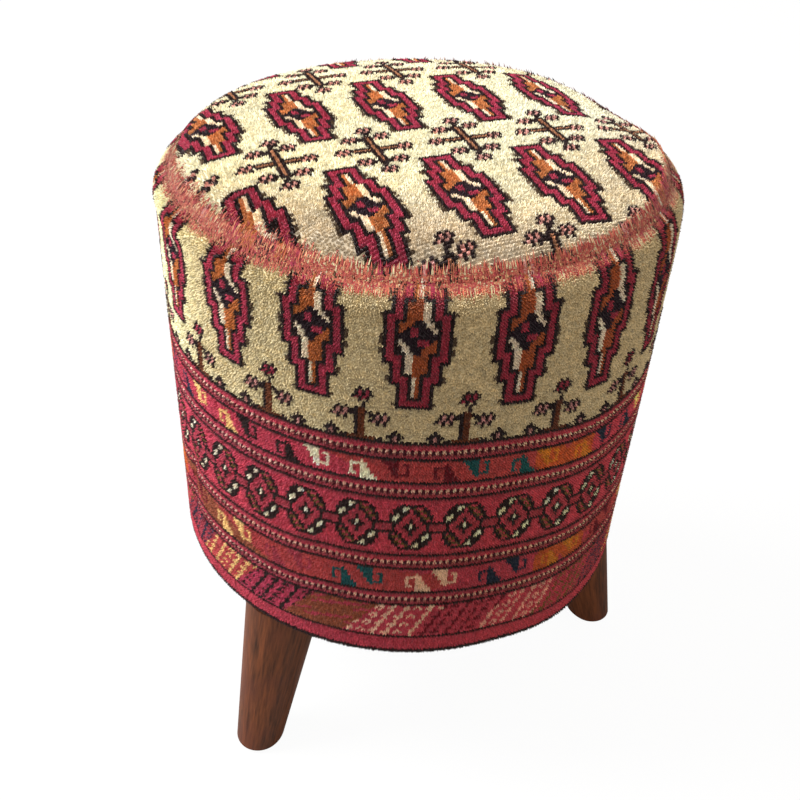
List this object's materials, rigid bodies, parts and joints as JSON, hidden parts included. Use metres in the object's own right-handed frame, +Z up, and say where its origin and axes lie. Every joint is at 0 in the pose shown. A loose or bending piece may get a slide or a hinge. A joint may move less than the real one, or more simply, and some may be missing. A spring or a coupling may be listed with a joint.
{
  "type": "pouf",
  "caption": "Round padded pouf covered in traditional pile rug, on splayed tapered wooden legs, used as a footstool or low seat.",
  "frame": {"origin": "where the vertical axis of the round body meets the floor, in the middle of the three-legged stance", "axes": "+Z up; the pictured side faces -Y, the closing seam of the rug is at +Y, the right leg points towards +X"},
  "size_m": [0.3663, 0.3462, 0.45],
  "materials": {
    "rug_pile": "hand-knotted wool pile, cream field over crimson borders",
    "thread": "waxed linen sewing thread",
    "blued_steel": "blued steel upholstery tacks",
    "plated_steel": "zinc-plated steel",
    "plated_screws": "yellow-passivated wood screws",
    "wadding": "polyester wadding",
    "foam": "open-cell seat foam",
    "plywood": "birch plywood",
    "hardboard": "bent hardboard",
    "pine": "planed pine",
    "walnut": "dark walnut-stained turned hardwood, satin",
    "black_cloth": "black non-woven underlining cloth"
  },
  "bodies": {
    "root": {"rug_top_panel": "rug_pile", "rug_side_panel": "rug_pile", "rim_seam_stitches": "thread", "back_seam_stitches": "thread", "hem_tacks": "blued_steel", "dust_cover_staples": "plated_steel", "hoop_pins": "plated_steel", "post_screws_top": "plated_screws", "post_screws_bottom": "plated_screws", "seat_wadding": "wadding", "side_wadding": "wadding", "seat_foam": "foam", "top_board": "plywood", "base_board": "plywood", "hoop": "hardboard", "post_front": "pine", "post_back_right": "pine", "post_left": "pine", "dust_cover": "black_cloth", "leg_front_left": "walnut", "leg_bolt_front_left": "plated_steel", "leg_nut_front_left": "plated_steel", "leg_right": "walnut", "leg_bolt_right": "plated_steel", "leg_nut_right": "plated_steel", "leg_back": "walnut", "leg_bolt_back": "plated_steel", "leg_nut_back": "plated_steel"}
  },
  "joints": []
}
